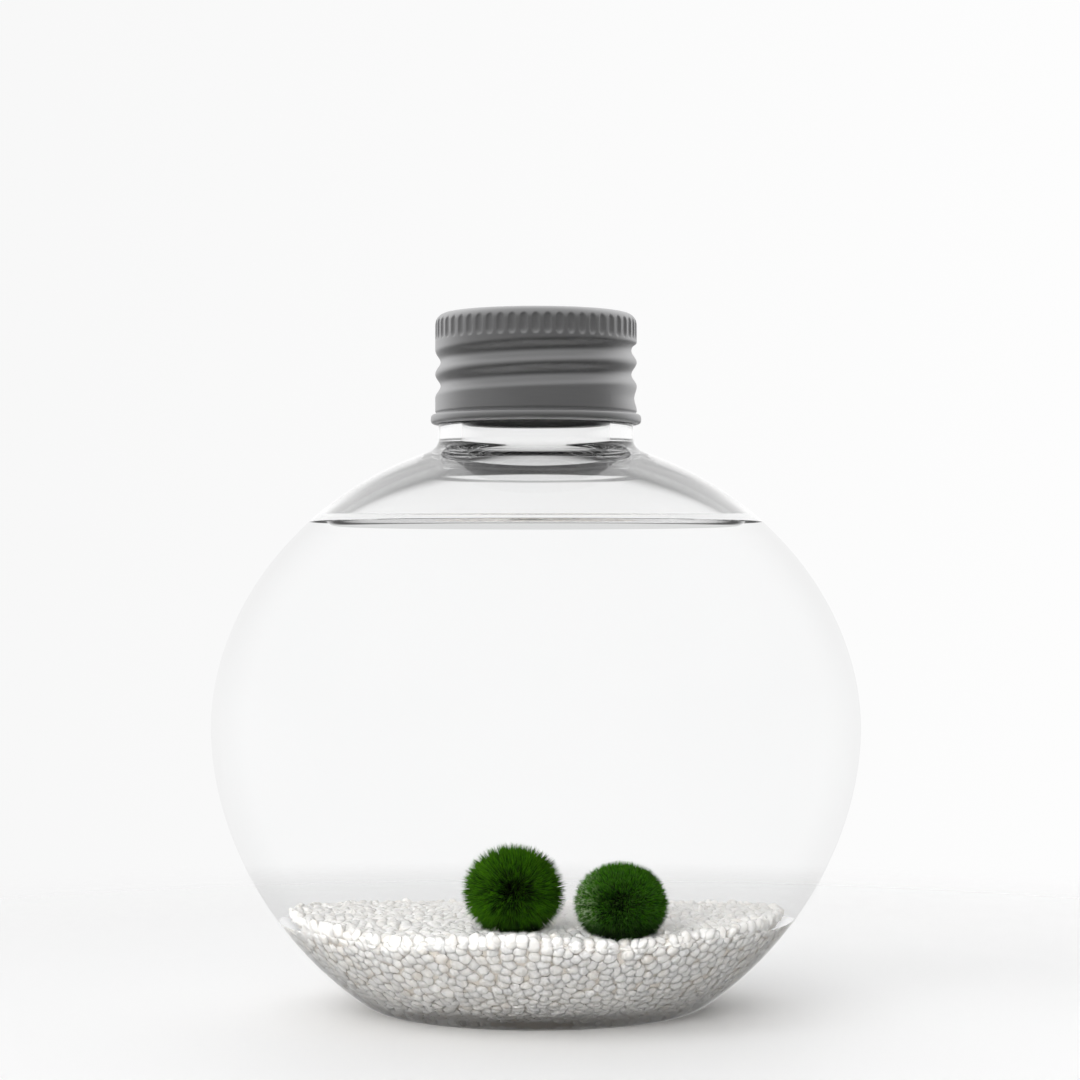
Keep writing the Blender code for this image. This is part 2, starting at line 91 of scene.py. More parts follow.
# %% One class for both kinds of tree
class Wire:
    """An output socket of a node tree, or the tree itself while it has no socket yet."""

    def __init__(self, tree, socket=None):
        self.tree = tree
        self.socket = socket

    def make(self, kind, settings=None, inputs=None, output=0):
        """Adds a node and returns one of its outputs."""
        node = self.tree.nodes.new(kind)
        for name, value in (settings or {}).items():
            if name == "stops":
                set_stops(node.color_ramp, value)
            else:
                setattr(node, name, value)
        for name, value in (inputs or {}).items():
            connect(self.tree, find_socket(node.inputs, name), value)
        return Wire(self.tree, find_socket(node.outputs, output)) if node.outputs else None

    def output(self, name):
        """Another output of the same node."""
        return Wire(self.tree, find_socket(self.socket.node.outputs, name))

    def maths(self, operation, *others, clamp=False):
        inputs = dict(enumerate((self, *others)))
        settings = {"operation": operation, "use_clamp": clamp}
        return self.make("ShaderNodeMath", settings, inputs)

    def vector(self, operation, *others, output="Vector"):
        inputs = dict(enumerate((self, *others)))
        return self.make("ShaderNodeVectorMath", {"operation": operation}, inputs, output)

    def scaled(self, factor):
        inputs = {"Vector": self, "Scale": factor}
        return self.make("ShaderNodeVectorMath", {"operation": "SCALE"}, inputs, "Vector")

    def __add__(self, other):
        return self.maths("ADD", other)

    def __sub__(self, other):
        return self.maths("SUBTRACT", other)

    def __mul__(self, other):
        return self.maths("MULTIPLY", other)

    def __truediv__(self, other):
        return self.maths("DIVIDE", other)

    def __pow__(self, other):
        return self.maths("POWER", other)

    def __radd__(self, other):
        return self + other

    def __rmul__(self, other):
        return self * other

    def __rsub__(self, other):
        return self.maths("MULTIPLY_ADD", -1.0, other)

    def __rtruediv__(self, other):
        return self**-1.0 * other

    def clamped(self):
        return self.maths("ADD", 0.0, clamp=True)

    def spread(self, low, high, new_low=0.0, new_high=1.0, smooth=False):
        """Carries the values from low to high over to new ones, and holds those beyond."""
        settings = {"interpolation_type": "SMOOTHSTEP" if smooth else "LINEAR"}
        values = [self, low, high, new_low, new_high]
        return self.make("ShaderNodeMapRange", settings, dict(enumerate(values)), "Result")


def find_socket(sockets, name):
    """A socket by its place, its identifier or its name."""
    if isinstance(name, int):
        return sockets[name]
    for socket in sockets:
        if socket.identifier == name:
            return socket
    return next(socket for socket in sockets if socket.name == name and socket.enabled)


def connect(tree, socket, value):
    """Links a wire to a socket, or sets the socket's own value."""
    if isinstance(value, Wire):
        tree.links.new(value.socket, socket)
        return
    if isinstance(value, (tuple, list)) and len(value) == 3 and socket.type == "RGBA":
        value = (*value, 1.0)
    socket.default_value = value


def set_stops(ramp, stops):
    """Gives a colour ramp its stops, each a place and a colour."""
    while len(ramp.elements) > 1:
        ramp.elements.remove(ramp.elements[-1])
    ramp.elements[0].position = stops[0][0]
    ramp.elements[0].color = (*stops[0][1], 1.0)
    for place, colour in stops[1:]:
        ramp.elements.new(place).color = (*colour, 1.0)


def mixed(wire, factor, one, other):
    """A colour between two others."""
    inputs = {"Factor_Float": factor, "A_Color": one, "B_Color": other}
    return wire.make("ShaderNodeMix", {"data_type": "RGBA"}, inputs, "Result_Color")


def new_material(name):
    """An empty material: its tree as a wire, its shader, and the place of a point on the piece."""
    made = bpy.data.materials.new(name)
    made.use_nodes = True
    tree = Wire(made.node_tree)
    shader = made.node_tree.nodes["Principled BSDF"]
    place = tree.make("ShaderNodeTexCoord", output="Object")
    return made, tree, shader, place


def set_inputs(shader, **values):
    """Sets the shader's own sockets, named with _ for a space."""
    for name, value in values.items():
        connect(shader.id_data, find_socket(shader.inputs, name.replace("_", " ")), value)


def noise(place, scale, detail=2.0, roughness=0.5, output="Fac"):
    """Smooth random values over a surface, at so many lumps a metre."""
    inputs = {"Vector": place, "Scale": scale, "Detail": detail, "Roughness": roughness}
    return place.make("ShaderNodeTexNoise", {"normalize": True}, inputs, output)


def bump(height, depth, strength=1.0):
    """A bumpy surface whose height is given from 0 to 1, with its depth in metres."""
    inputs = {"Height": height, "Distance": depth, "Strength": strength}
    return height.make("ShaderNodeBump", None, inputs, "Normal")


# %% [markdown]
# ## Clear glass
#
# Glass shows only by what it bends and mirrors, so a plain Principled shader with full
# transmission is the right one. The globe has three zones. Where it is dry, the wall bends the
# light twice, and the neck and the shoulder show streaks. Where it holds water, a real globe
# would magnify the balls and hide the top of the gravel. The photograph shows neither, so the
# wet wall doesn't bend light and only mirrors a little. Where the gravel lies against it, the
# wall bends light again, and that carries the gravel out to the very edge. It bends less than
# dry glass there, because a full bend would trap the light in the wall and darken the grains.

# %% Glass and water
GLASS_BEND = 1.46
WATER_BEND = 1.333
SLIGHT_BEND = 1.24
NO_BEND = 1.0
WALL_SHINE = 0.12
RIM_START, RIM_END = 0.55, 0.8


def clear_material(name, bend, shine=0.0, tint=0.985, rim=0.0):
    """A see-through finish. The shine mirrors the room without bending what lies behind.

    tint is how much light comes through, and rim is how much of it is lost where the wall is
    seen edge on, through more glass.
    """
    made, tree, shader, place = new_material(name)
    cast = noise(place, 30.0, 1.0)
    facing = tree.make("ShaderNodeLayerWeight", None, {"Blend": 0.5}, "Facing")
    clear = mixed(cast, cast, (tint, tint + 0.002, tint + 0.002), (0.998, 0.998, 0.998))
    set_inputs(
        shader,
        Base_Color=mixed(clear, facing.spread(RIM_START, RIM_END) * rim, clear, (0.0, 0.0, 0.0)),
        Roughness=0.0,
        IOR=bend,
        Transmission_Weight=1.0,
        Coat_Weight=shine,
        Coat_Roughness=0.0,
        Coat_IOR=GLASS_BEND,
    )
    return made


dry_glass = clear_material("clear glass", GLASS_BEND)
wet_glass = clear_material("clear glass over water", NO_BEND, WALL_SHINE, tint=0.96, rim=0.05)
gravel_glass = clear_material("clear glass over gravel", SLIGHT_BEND, WALL_SHINE)
wet_inside = clear_material("clear glass against water", NO_BEND, tint=0.996)
# The water surface lets through only three quarters of the light: painted shade over the top of the
# gravel and the balls.
water_surface = clear_material("water surface", WATER_BEND, tint=0.75)
water_under = clear_material("water against glass", NO_BEND, tint=0.996)
print("glass bends by", GLASS_BEND, "and water by", WATER_BEND)

# %% [markdown]
# ## Turned shapes
#
# The globe, the water, the cap and its sealing disc are all turned: one outline swept round
# the upright axis. An outline here is a list of radii and heights. The stretches between are
# curves, so a few sizes describe each one.


# %% Outlines
def curve(start, corner, end, steps):
    """Points that leave start towards corner and reach end from it, without start itself."""
    share = np.linspace(0.0, 1.0, steps + 1)[1:, None]
    start, corner, end = (np.array(point) for point in (start, corner, end))
    bent = (1 - share) ** 2 * start + 2 * share * (1 - share) * corner + share**2 * end
    return [tuple(point) for point in bent]


def straight(start, end, steps):
    """Evenly spaced points from start to end, without start itself."""
    return curve(start, [(a + b) / 2 for a, b in zip(start, end)], end, steps)


def ring_skin(name, radius, height, first=None, last=None):
    """A skin through rings of points, with one row a ring in each of radius and height.

    first and last are the heights of the points on the axis that close its two ends.
    """
    radius, height = np.array(radius), np.array(height)
    rows, columns = radius.shape
    angle = np.linspace(0.0, 2 * math.pi, columns, endpoint=False)
    points = np.stack([radius * np.cos(angle), radius * np.sin(angle), height], -1)
    points = points.reshape(-1, 3).tolist()
    here = np.arange(columns)
    after = (here + 1) % columns
    faces = []
    for row in range(rows - 1):
        low, high = row * columns, (row + 1) * columns
        faces += np.stack([low + here, low + after, high + after, high + here], -1).tolist()
    if first is not None:
        points.append((0.0, 0.0, first))
        faces += [(b, a, len(points) - 1) for a, b in zip(here.tolist(), after.tolist())]
    if last is not None:
        points.append((0.0, 0.0, last))
        top = (rows - 1) * columns
        faces += [(top + a, top + b, len(points) - 1) for a, b in zip(here.tolist(), after.tolist())]
    mesh = bpy.data.meshes.new(name)
    mesh.from_pydata(points, [], faces)
    mesh.shade_smooth()
    piece = bpy.data.objects.new(name, mesh)
    bpy.context.scene.collection.objects.link(piece)
    return piece


def turned(name, outline, columns, reshape=None):
    """Sweeps a closed outline round the axis, from one point on the axis to another.

    reshape takes the radius, the height and the angle of the points, and returns the radius and
    the height that they should have.
    """
    outline = np.array(outline)
    radius = np.repeat(outline[1:-1, :1], columns, axis=1)
    height = np.repeat(outline[1:-1, 1:], columns, axis=1)
    if reshape:
        radius, height = reshape(radius, height, np.linspace(0, 2 * math.pi, columns, False))
    return ring_skin(name, radius, height, float(outline[0, 1]), float(outline[-1, 1]))


def finish_bands(piece, finishes, band_finish, columns):
    """Gives a turned piece its materials: band_finish holds a number for each band."""
    for finish in finishes:
        piece.data.materials.append(finish)
    numbers = np.repeat(band_finish, columns).tolist()
    numbers += [band_finish[0]] * columns + [band_finish[-1]] * columns
    piece.data.polygons.foreach_set("material_index", numbers)


# %% [markdown]
# ## The globe
#
# The globe was blown into a mould. Its outline is one flattened oval above the equator and a
# deeper one below, and it ends in a flat foot with a shallow push-up. The neck flares out of
# the shoulder and carries the screw thread, which stands out as one ridge that winds up to the
# right. These are the sizes that the model was built from, apart from two. The water stands a
# little higher. The neck's wall is a little thicker at the shoulder and runs straight up inside
# the cap's skirt, because those forms bend the view into the dark and light bands that the
# photograph shows.

# %% Sizes of the globe
GLOBE_RADIUS = 57.2 * MM
EQUATOR_HEIGHT = 49.4 * MM
UPPER_REACH = 51.8 * MM
UPPER_POWER = 1.94
LOWER_REACH = 58.5 * MM
LOWER_POWER = 1.89
GLASS_WALL = 2.0 * MM
WATER_LEVEL = 84.8 * MM
MENISCUS_RISE = 0.8 * MM
WET_TOP = WATER_LEVEL + MENISCUS_RISE
GRAVEL_LINE = 17.0 * MM
PUSH_UP = 1.8 * MM
PUSH_UP_RADIUS = 8.0 * MM
HEEL_HEIGHT = 1.6 * MM
WALL_FOOT = 8.0 * MM
FLOOR_LOW = 4.2 * MM
FLOOR_MIDDLE = 5.2 * MM
FLOOR_MIDDLE_RADIUS = 6.0 * MM
FLOOR_HOLLOW_RADIUS = 14.0 * MM
FLOOR_RADIUS = 24.0 * MM
FLOOR_CORNER = 29.5 * MM


def globe_radius(height, inset=0.0):
    """The globe's radius at a height, on a surface that lies inset inside the outer one."""
    height = np.asarray(height, float)
    above = height > EQUATOR_HEIGHT
    reach = np.where(above, UPPER_REACH, LOWER_REACH) - inset
    power = np.where(above, UPPER_POWER, LOWER_POWER)
    share = np.clip(np.abs(height - EQUATOR_HEIGHT) / reach, 0.0, 1.0)
    return (GLOBE_RADIUS - inset) * (1 - share**power) ** (1 / power)


def globe_wall(heights, rows, inset=0.0):
    """Points up the globe's wall through some heights, closer together where it curves more."""
    rise = np.array(heights) - EQUATOR_HEIGHT
    angle = np.arcsin(rise / (np.where(rise > 0, UPPER_REACH, LOWER_REACH) - inset))
    angle = np.interp(np.linspace(0, len(rise) - 1, rows), np.arange(len(rise)), angle)
    height = EQUATOR_HEIGHT + (np.where(angle > 0, UPPER_REACH, LOWER_REACH) - inset) * np.sin(angle)
    return list(zip(globe_radius(height, inset), height))


print("widest", 2 * GLOBE_RADIUS / MM, "mm, water to", WATER_LEVEL / MM, "mm")

# %% The globe's outline, from under the foot, up the outside, over the rim and down the inside
PITCH = 25.4 * MM / 6
GROOVE_START = 107.5 * MM
NECK_RADIUS = 17.25 * MM
NECK_TOP = 105.1 * MM
SHOULDER_TOP = 97.6 * MM
SHOULDER_WALL = 2.3 * MM
SHOULDER_LOW = 80.0 * MM
INNER_TOP = 95.2 * MM
THREAD_ROOT = 16.0 * MM
THREAD_CREST = 0.9 * MM
THREAD_LOW = 106.0 * MM
THREAD_HIGH = 118.7 * MM
RIM_HEIGHT = 120.4 * MM
BORE_RADIUS = 13.2 * MM

foot_edge = (27.3 * MM, 0.0)
heel_top = (float(globe_radius(HEEL_HEIGHT)), HEEL_HEIGHT)
shoulder_top = (float(globe_radius(SHOULDER_TOP)), SHOULDER_TOP)
rim_outer = (14.9 * MM, RIM_HEIGHT)
rim_inner = (14.0 * MM, RIM_HEIGHT)
bore_low = (BORE_RADIUS, 99.3 * MM)
inner_top = (float(globe_radius(INNER_TOP, SHOULDER_WALL)), INNER_TOP)
wall_foot = (float(globe_radius(WALL_FOOT, GLASS_WALL)), WALL_FOOT)

outside = [(0.0, PUSH_UP), (PUSH_UP_RADIUS, PUSH_UP)]
outside += curve(outside[-1], (16.0 * MM, PUSH_UP), (22.0 * MM, 0.0), 6)
outside += [foot_edge, *curve(foot_edge, (28.9 * MM, 0.0), heel_top, 8)]
outside += globe_wall((HEEL_HEIGHT, GRAVEL_LINE, WET_TOP, SHOULDER_TOP), 151)[1:]
outside += curve(shoulder_top, (NECK_RADIUS, 98.45 * MM), (NECK_RADIUS, 100.3 * MM), 14)
outside += straight(outside[-1], (NECK_RADIUS, NECK_TOP), 4)
outside += curve(outside[-1], (THREAD_ROOT, NECK_TOP + 0.2 * MM), (THREAD_ROOT, THREAD_LOW), 4)
outside += straight(outside[-1], (THREAD_ROOT, RIM_HEIGHT - 1.1 * MM), 60)
outside += curve(outside[-1], (THREAD_ROOT, RIM_HEIGHT), rim_outer, 6)
inside = [rim_inner, *curve(rim_inner, (BORE_RADIUS, RIM_HEIGHT), (BORE_RADIUS, 119.5 * MM), 6)]
inside += straight(inside[-1], bore_low, 10)
inside += curve(bore_low, (BORE_RADIUS, 97.1 * MM), inner_top, 14)
for radius, height in globe_wall((WALL_FOOT, WET_TOP, INNER_TOP), 121, GLASS_WALL)[::-1][1:]:
    share = max(0.0, (height - SHOULDER_LOW) / (INNER_TOP - SHOULDER_LOW)) ** 2
    inset = GLASS_WALL + share * (SHOULDER_WALL - GLASS_WALL)
    inside.append((float(globe_radius(height, inset)), height))
floor_middle = (FLOOR_MIDDLE_RADIUS, FLOOR_MIDDLE)
inside += curve(wall_foot, (FLOOR_CORNER, FLOOR_LOW), (FLOOR_RADIUS, FLOOR_LOW), 8)
inside += curve(inside[-1], (FLOOR_HOLLOW_RADIUS, FLOOR_LOW), floor_middle, 5)
inside += [(0.0, FLOOR_MIDDLE)]
print(len(outside) + len(inside), "points in the globe's outline")


# %% [markdown]
# The gravel leans against the glass, so its form comes before the globe is turned. It lies level
# in front, where the balls are, and falls away behind, with a few low heaps.

# %% The form of the bed
BED_LEVEL = 17.6 * MM
BED_BACK_FALL = 5.4 * MM
BED_FALL_START = 2.0 * MM
BED_FALL_POWER = 1.3
BED_HEAPS = (
    (-25.0 * MM, -38.0 * MM, 9.0 * MM, -1.0 * MM),
    (-4.0 * MM, -45.0 * MM, 8.0 * MM, 0.5 * MM),
    (16.0 * MM, -42.0 * MM, 8.0 * MM, -0.9 * MM),
    (44.0 * MM, -12.0 * MM, 10.0 * MM, 0.6 * MM),
    (-14.0 * MM, -10.0 * MM, 12.0 * MM, 0.5 * MM),
    (20.0 * MM, 8.0 * MM, 12.0 * MM, -0.4 * MM),
)


def bed_height(x, y):
    """The height of the gravel's surface, as its grains lie."""
    behind = np.maximum(0.0, y - BED_FALL_START) / (GLOBE_RADIUS - BED_FALL_START)
    height = BED_LEVEL - BED_BACK_FALL * behind**BED_FALL_POWER
    for heap_x, heap_y, spread, rise in BED_HEAPS:
        height = height + rise * np.exp(-((x - heap_x) ** 2 + (y - heap_y) ** 2) / spread**2)
    return height


def bed_edge(angle, inset):
    """The height at which the gravel meets a surface that lies inset inside the glass."""
    edge = np.full(len(angle), BED_LEVEL)
    for _ in range(5):
        reach = globe_radius(edge, inset)
        edge = bed_height(reach * np.cos(angle), reach * np.sin(angle))
    return edge


# %% Turn the globe
GLOBE_COLUMNS = 192
THREAD_FADE = 0.12
THREAD_TURNS = 1.5
BAND_FADE = 30.0 * MM


def thread_share(height, angle, start, turns):
    """How far a thread stands out, from 0 to 1, at each height and angle round the axis."""
    climbed = angle / (2 * math.pi)
    position = (height - start) / PITCH - climbed
    turn = np.round(position) + climbed
    fade_in = np.clip((turn + THREAD_FADE) / (2 * THREAD_FADE), 0, 1)
    fade_out = np.clip((turns + THREAD_FADE - turn) / (2 * THREAD_FADE), 0, 1)
    return np.minimum(fade_in, fade_out) * np.cos(math.pi * (position - np.round(position))) ** 2


def blow(radius, height, angle):
    """Raises the thread on the neck, and bends the rings so that one follows the gravel's edge."""
    share = thread_share(height, angle, GROOVE_START + PITCH / 2, THREAD_TURNS)
    on_neck = (height > THREAD_LOW) & (height < THREAD_HIGH) & (radius > THREAD_ROOT - 0.1 * MM)
    near = np.interp(height, (WALL_FOOT, GRAVEL_LINE, BAND_FADE), (0.0, 1.0, 0.0))
    sunk = np.interp(np.sin(angle), (-0.8, 0.2), (1.3 * MM, 2.4 * MM))
    bent = height + near * (bed_edge(angle, GLASS_WALL) - sunk - GRAVEL_LINE)
    inset = np.where(radius < globe_radius(height) - GLASS_WALL / 2, GLASS_WALL, 0.0)
    change = globe_radius(bent, inset) - globe_radius(height, inset)
    return radius + THREAD_CREST * share * on_neck + change, bent


outline = outside + inside
globe = turned("blown_globe", outline, GLOBE_COLUMNS, blow)
globe_finish = []
for band in range(1, len(outline) - 2):
    middle = (outline[band][1] + outline[band + 1][1]) / 2
    if middle > WET_TOP:
        globe_finish.append(0)
    elif band >= len(outside) - 1:
        globe_finish.append(1)
    else:
        globe_finish.append(2 if middle > GRAVEL_LINE else 3)
glass_finishes = [dry_glass, wet_inside, wet_glass, gravel_glass]
finish_bands(globe, glass_finishes, globe_finish, GLOBE_COLUMNS)
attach(globe, "jar")
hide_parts("glass_jar")
print(len(globe.data.polygons), "faces in the globe")

# %% [markdown]
# ## The water
#
# The water fills everything inside the glass, between the grains and round the moss too. Only
# its surface is seen. It climbs the glass a little all round, and that curve catches a dark
# line.

# %% Pour the water
MENISCUS_WIDTH = 2.2 * MM
STILL_STEPS = (0.05, 0.15, 0.5, 10.0)
THIN = 0.05 * MM

wet_inset = GLASS_WALL + THIN
water_edge = (float(globe_radius(WET_TOP, wet_inset)), WET_TOP)
water_flat = (water_edge[0] - MENISCUS_WIDTH, WATER_LEVEL)
water_foot = (float(globe_radius(WALL_FOOT, wet_inset)), WALL_FOOT)
water_low = FLOOR_LOW + THIN
water_side = [(0.0, FLOOR_MIDDLE + THIN), (FLOOR_MIDDLE_RADIUS, FLOOR_MIDDLE + THIN)]
water_side += curve(water_side[-1], (FLOOR_HOLLOW_RADIUS, water_low), (FLOOR_RADIUS, water_low), 4)
water_side += curve(water_side[-1], (FLOOR_CORNER, water_low), water_foot, 8)
water_side += globe_wall((WALL_FOOT, WET_TOP), 90, wet_inset)[1:]
meniscus = curve(water_edge, (water_edge[0] - MENISCUS_WIDTH / 3, WATER_LEVEL), water_flat, 12)
still = [(water_flat[0] - step * MM, WATER_LEVEL) for step in STILL_STEPS]
water_line = [*water_side, *meniscus, *still, (0.0, WATER_LEVEL)]
water = turned("still_water", water_line, GLOBE_COLUMNS)
water_finish = [int(band >= len(water_side) - 1) for band in range(1, len(water_line) - 2)]
finish_bands(water, [water_under, water_surface], water_finish, GLOBE_COLUMNS)
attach(water, "jar")
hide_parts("water")
print("the water is", round(2 * water_edge[0] / MM, 1), "mm across at its surface")

# %% [markdown]
# ## Trees that scatter
#
# Gravel and moss are each one small shape repeated thousands of times over a surface. Geometry
# Nodes does that well: scatter points, put the small shape on each, turn and size it at random,
# and make the copies real. The sizes are the tree's named inputs, so the same tree serves
# every place that needs it.


# %% Helpers for Geometry Nodes
TRIES_A_PLACE = 3.0


def new_tree(name, inputs):
    """A Geometry Nodes tree with named inputs, and a wire from each of them."""
    tree = bpy.data.node_groups.new(name, "GeometryNodeTree")
    tree.interface.new_socket("Geometry", in_out="INPUT", socket_type="NodeSocketGeometry")
    for label, kind in inputs:
        tree.interface.new_socket(label, in_out="INPUT", socket_type=f"NodeSocket{kind}")
    tree.interface.new_socket("Geometry", in_out="OUTPUT", socket_type="NodeSocketGeometry")
    group = Wire(tree).make("NodeGroupInput", output="Geometry")
    return tree, group


def random_number(wire, low, high, seed):
    """A random number between low and high for each point."""
    inputs = {"Min_001": low, "Max_001": high, "Seed": seed}
    return wire.make("FunctionNodeRandomValue", {"data_type": "FLOAT"}, inputs, "Value_001")


def random_vector(wire, low, high, seed):
    """Three random numbers for each point."""
    inputs = {"Min": low, "Max": high, "Seed": seed}
    return wire.make("FunctionNodeRandomValue", {"data_type": "FLOAT_VECTOR"}, inputs, "Value")


def scatter_points(inputs, seed):
    """Random points on the ground, none closer together than the tree's Spacing."""
    spacing = inputs.output("Spacing")
    sockets = {"Mesh": inputs, "Distance Min": spacing, "Seed": seed}
    sockets["Density Max"] = TRIES_A_PLACE / (spacing * spacing)
    settings = {"distribute_method": "POISSON"}
    return inputs.make("GeometryNodeDistributePointsOnFaces", settings, sockets, "Points")


def store(geometry, name, value, domain):
    """Keeps a number with each point or copy, for the material to read."""
    inputs = {"Geometry": geometry, "Name": name, "Value": value}
    settings = {"data_type": "FLOAT", "domain": domain}
    return geometry.make("GeometryNodeStoreNamedAttribute", settings, inputs)


def end_tree(geometry, finish):
    """Ends a tree with smooth faces and their finish."""
    smooth = geometry.make("GeometryNodeSetShadeSmooth", None, {"Geometry": geometry})
    done = smooth.make("GeometryNodeSetMaterial", None, {"Geometry": smooth, "Material": finish})
    done.make("NodeGroupOutput", None, {"Geometry": done})


def grow(name, tree, ground, **values):
    """Runs a tree on a mesh and returns the result as a plain mesh piece."""
    piece = bpy.data.objects.new(name, ground.data)
    bpy.context.scene.collection.objects.link(piece)
    modifier = piece.modifiers.new(tree.name, "NODES")
    modifier.node_group = tree
    for socket in tree.interface.items_tree:
        label = socket.name.replace(" ", "_").lower()
        if label in values:
            modifier[socket.identifier] = values[label]
    graph = bpy.context.evaluated_depsgraph_get()
    mesh = bpy.data.meshes.new_from_object(piece.evaluated_get(graph), depsgraph=graph)
    mesh.name = name
    piece.modifiers.clear()
    piece.data = mesh
    print(f"{name}: {len(mesh.polygons)} faces")
    return piece


# %% [markdown]
# ## The gravel
#
# The bed is many thousand tumbled quartz grains, poured in and never levelled. Only the grains
# against the glass and those on top can be seen, so only these are made, over a core of the
# colour that shows in the gaps.

# %% The surfaces that the grains lie on
BED_COLUMNS = 120
GRAIN_SIZE = 2.5 * MM
GRAIN_SPACING = 1.45 * MM
GRAIN_LUMPS = 0.5 * MM
BED_MIDDLE = 4.9 * MM
BED_MIDDLE_RADIUS = 10.0 * MM
GRAIN_SINK = 0.32 * GRAIN_SIZE
CORE_SINK = 0.45 * GRAIN_SIZE


def bed_side(depth, sunk):
    """Rings from the jar's floor up the glass, at a depth inside it and sunk below the top."""
    inset = GLASS_WALL + depth
    angle = np.linspace(0.0, 2 * math.pi, BED_COLUMNS, endpoint=False)
    edge = bed_edge(angle, inset) - sunk
    foot = (float(globe_radius(WALL_FOOT, inset)), WALL_FOOT)
    floor = [(BED_MIDDLE_RADIUS, BED_MIDDLE + depth), (FLOOR_RADIUS, FLOOR_LOW + depth)]
    floor += curve(floor[-1], (FLOOR_CORNER - depth, FLOOR_LOW + depth), foot, 6)
    radius = [np.full(BED_COLUMNS, ring[0]) for ring in floor]
    height = [np.full(BED_COLUMNS, ring[1]) for ring in floor]
    for share in np.linspace(0.0, 1.0, 9)[1:]:
        height.append(WALL_FOOT + share * (edge - WALL_FOOT))
        radius.append(globe_radius(height[-1], inset))
    return radius, height


def bed_top(edge_radius, sunk):
    """Rings from the glass to the middle of the gravel's surface, and the height there."""
    angle = np.linspace(0.0, 2 * math.pi, BED_COLUMNS, endpoint=False)
    radius = [share * edge_radius for share in np.linspace(1.0, 0.03, 30)]
    height = [bed_height(ring * np.cos(angle), ring * np.sin(angle)) - sunk for ring in radius]
    return radius, height, float(height[-1].mean())


side_radius, side_height = bed_side(GRAIN_SINK, 1.3 * GRAIN_SINK)
side_ground = ring_skin("side_ground", side_radius, side_height)
top_ground = ring_skin("top_ground", *bed_top(side_radius[-1], 1.3 * GRAIN_SINK))
core_radius, core_height = bed_side(CORE_SINK, CORE_SINK)
top_radius, top_height, middle = bed_top(core_radius[-1], CORE_SINK)
core_radius, core_height = core_radius + top_radius[1:], core_height + top_height[1:]
gravel_core = ring_skin("gravel_core", core_radius, core_height, float(core_height[0][0]), middle)
print("the bed stands", round(float(bed_height(0.0, -0.04)) / MM, 1), "mm high in front")

# %% [markdown]
# Each grain is a worn pebble of milky quartz. Light gets a little way into it and out again, so
# its edges are soft and it is never quite white. The core that shows between the grains is
# painted a dusty beige, a little darker than the grains: a dusty tone and painted shade deep in
# the gaps.

# %% Stone
stone, tree, shader, place = new_material("milky quartz")
tone = tree.make("ShaderNodeAttribute", {"attribute_name": "grain_tone"}, output="Fac")
clouds = noise(place, 700.0, 2.0)
quartz = [
    (0.0, (0.74, 0.69, 0.63)),
    (0.15, (0.78, 0.75, 0.71)),
    (0.6, (0.81, 0.79, 0.755)),
    (1.0, (0.85, 0.83, 0.80)),
]
quartz = tree.make("ShaderNodeValToRGB", {"stops": quartz}, {"Fac": tone}, "Color")
set_inputs(
    shader,
    Base_Color=mixed(clouds, clouds.spread(0.35, 0.7), quartz, (0.84, 0.82, 0.79)),
    Roughness=clouds.spread(0.3, 0.7, 0.45, 0.7),
    Subsurface_Weight=0.7,
    Subsurface_Radius=(1.0, 0.97, 0.92),
    Subsurface_Scale=1.5 * MM,
    Normal=bump(noise(place, 2500.0, 2.0), 0.03 * MM, 0.5),
)

# The core is painted a dusty beige, darker than the grains: a dusty tone and painted shade deep in
# the gaps.
dust_and_gap_shade, tree, shader, place = new_material("dust between the grains")
patches = noise(place, 400.0, 3.0)
set_inputs(
    shader,
    Base_Color=mixed(patches, patches, (0.72, 0.67, 0.61), (0.84, 0.80, 0.74)),
    Roughness=0.9,
    Normal=bump(patches, 0.2 * MM),
)
gravel_core.data.materials.append(dust_and_gap_shade)

# %% [markdown]
# The grain tree scatters points so that no two are much closer than a grain's width, puts a
# flat pebble on each, lays it against the surface with a random turn, and then pushes every
# pebble out of shape with noise, so that no two are alike.

# %% The grain tree
grain_inputs = [(label, "Float") for label in ("Grain Size", "Spacing", "Lumpiness", "Lean")]
grain_tree, inputs = new_tree("scatter_grains", [*grain_inputs, ("Finish", "Material")])
points = scatter_points(inputs, 7)
ball = {"Segments": 9, "Rings": 5, "Radius": 0.5}
shape = random_vector(points, (0.85, 0.85, 0.5), (1.2, 1.05, 0.65), 2)
lean = random_vector(points, (-1.0, -1.0, -1.0), (1.0, 1.0, 1.0), 3)
lie = {"Vector": points.output("Normal").vector("ADD", lean.scaled(inputs.output("Lean")))}
lie["Rotation"] = lean.make("FunctionNodeEulerToRotation", None, {"Euler": lean.scaled(3.1)})
pebbles = {
    "Points": points,
    "Instance": points.make("GeometryNodeMeshUVSphere", None, ball, "Mesh"),
    "Rotation": points.make("FunctionNodeAlignRotationToVector", {"axis": "Z"}, lie, "Rotation"),
    "Scale": shape.scaled(inputs.output("Grain Size")),
}
pebbles = points.make("GeometryNodeInstanceOnPoints", None, pebbles)
pebbles = store(pebbles, "grain_tone", random_number(pebbles, 0.0, 1.0, 4), "INSTANCE")
pebbles = pebbles.make("GeometryNodeRealizeInstances", None, {"Geometry": pebbles})
where = pebbles.make("GeometryNodeInputPosition")
push = noise(where, 600.0, 1.0, output="Color").vector("SUBTRACT", (0.5, 0.5, 0.5))
push = {"Geometry": pebbles, "Offset": push.scaled(inputs.output("Lumpiness"))}
end_tree(pebbles.make("GeometryNodeSetPosition", None, push), inputs.output("Finish"))

